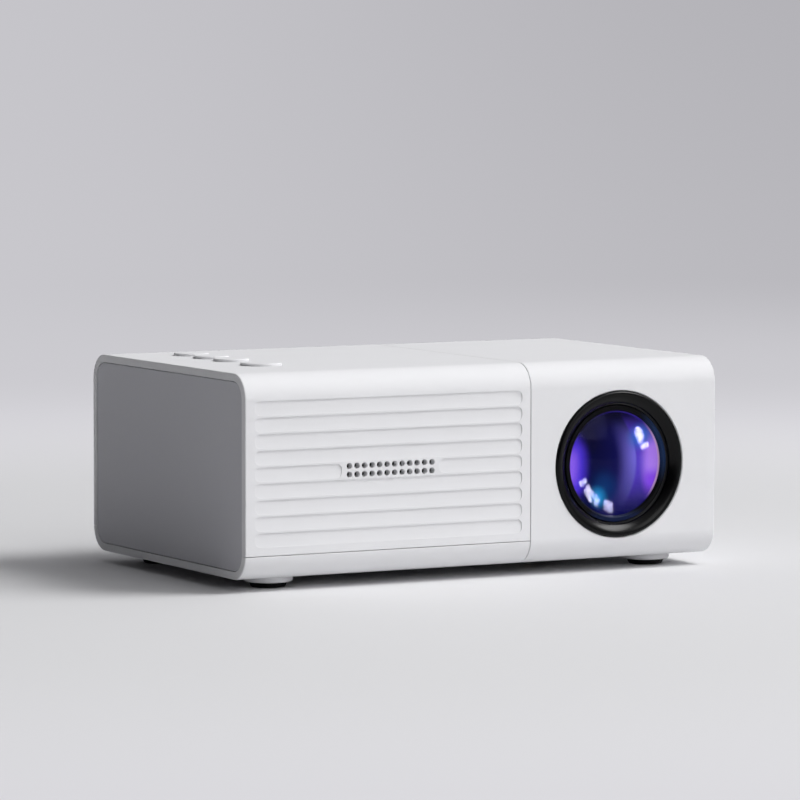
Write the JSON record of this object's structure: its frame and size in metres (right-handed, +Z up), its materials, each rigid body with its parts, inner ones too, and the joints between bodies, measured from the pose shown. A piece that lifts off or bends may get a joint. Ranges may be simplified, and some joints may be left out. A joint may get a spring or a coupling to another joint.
{
  "type": "mini projector",
  "caption": "Small white box-shaped projector with a fluted front, a round focusing lens beside it, round keys on top, end panels and rubber feet.",
  "frame": {"origin": "on the table, under the middle of the projector's overall box", "axes": "+X to the lens side seen from the front, -Y the way the lens looks, +Z up"},
  "size_m": [0.1264, 0.0814, 0.0509],
  "materials": {
    "shell": "satin white moulded plastic",
    "end_panel": "fine-grained light grey plastic",
    "inner_plastic": "dark moulded plastic",
    "black_ring": "black satin",
    "foot_rubber": "matte black rubber",
    "steel": "plated steel",
    "insert_brass": "turned brass",
    "aluminium": "plain aluminium",
    "board": "green solder resist",
    "chip_black": "moulded package",
    "magnet": "sintered ferrite",
    "cone_paper": "dark pressed paper",
    "lens_glass": "coated glass, blue and violet",
    "clear_glass": "clear glass",
    "mirror": "front-surface mirror",
    "lamp": "phosphor",
    "ribbon": "amber film"
  },
  "bodies": {
    "case": {"main_cover": "shell", "lens_side_shell": "shell", "bottom_shell": "shell", "left_end_panel": "end_panel", "right_end_panel": "end_panel", "power_switch": "steel", "source_switch": "steel", "volume_down_switch": "steel", "volume_up_switch": "steel", "key_board": "board", "main_board": "board", "main_chip": "chip_black", "chip_cooler": "aluminium", "port_board": "board", "hdmi_socket": "steel", "usb_socket": "steel", "card_slot": "steel", "power_inlet": "inner_plastic", "sound_jack": "inner_plastic", "speaker_frame": "inner_plastic", "speaker_magnet": "magnet", "speaker_cone": "cone_paper", "optical_housing": "inner_plastic", "optical_lid": "inner_plastic", "fold_mirror": "mirror", "front_fresnel": "clear_glass", "lcd_panel": "lens_glass", "rear_fresnel": "clear_glass", "condenser_lens": "clear_glass", "led_board": "aluminium", "led_chip": "lamp", "lcd_ribbon": "ribbon", "heat_sink": "aluminium", "fan_frame": "inner_plastic", "lens_guide": "inner_plastic", "foot_pad_front_left": "foot_rubber", "foot_pad_front_right": "foot_rubber", "foot_pad_rear_left": "foot_rubber", "foot_pad_rear_right": "foot_rubber", "case_screw_front_left": "steel", "case_screw_front_right": "steel", "case_screw_rear_left": "steel", "case_screw_rear_right": "steel", "tripod_insert": "insert_brass"},
    "focus_ring": {"focus_ring": "black_ring"},
    "lens_barrel": {"lens_barrel": "inner_plastic", "front_lens": "lens_glass", "lens_retainer": "black_ring", "rear_lens": "clear_glass", "rear_lens_ring": "inner_plastic"},
    "fan": {"fan_rotor": "inner_plastic"},
    "power_key": {"power_key": "shell", "power_plunger": "inner_plastic"},
    "source_key": {"source_key": "shell", "source_plunger": "inner_plastic"},
    "volume_down_key": {"volume_down_key": "shell", "volume_down_plunger": "inner_plastic"},
    "volume_up_key": {"volume_up_key": "shell", "volume_up_plunger": "inner_plastic"}
  },
  "joints": [
    {"name": "focus_ring_turn", "type": "hinge", "parent": "case", "child": "focus_ring", "pos_m": [0.0365, -0.0403, 0.0256], "axis": [0, -1, 0], "range_deg": [-45, 45]},
    {"name": "lens_barrel_slide", "type": "slide", "parent": "case", "child": "lens_barrel", "axis": [0, -1, 0], "range_m": [-0.0015, 0.0015]},
    {"name": "fan_spin", "type": "hinge", "parent": "case", "child": "fan", "pos_m": [-0.0171, 0.0351, 0.0252], "axis": [0, 1, 0], "continuous": true},
    {"name": "power_key_press", "type": "slide", "parent": "case", "child": "power_key", "axis": [0, 0, -1], "range_m": [0, 0.0005], "stiffness_N_per_m": 600, "springref_m": -0.0005},
    {"name": "source_key_press", "type": "slide", "parent": "case", "child": "source_key", "axis": [0, 0, -1], "range_m": [0, 0.0005], "stiffness_N_per_m": 600, "springref_m": -0.0005},
    {"name": "volume_down_key_press", "type": "slide", "parent": "case", "child": "volume_down_key", "axis": [0, 0, -1], "range_m": [0, 0.0005], "stiffness_N_per_m": 600, "springref_m": -0.0005},
    {"name": "volume_up_key_press", "type": "slide", "parent": "case", "child": "volume_up_key", "axis": [0, 0, -1], "range_m": [0, 0.0005], "stiffness_N_per_m": 600, "springref_m": -0.0005}
  ],
  "couplings": [
    {"joint": "lens_barrel_slide", "follows": "focus_ring_turn", "m_per_rad": 0.0019098}
  ]
}
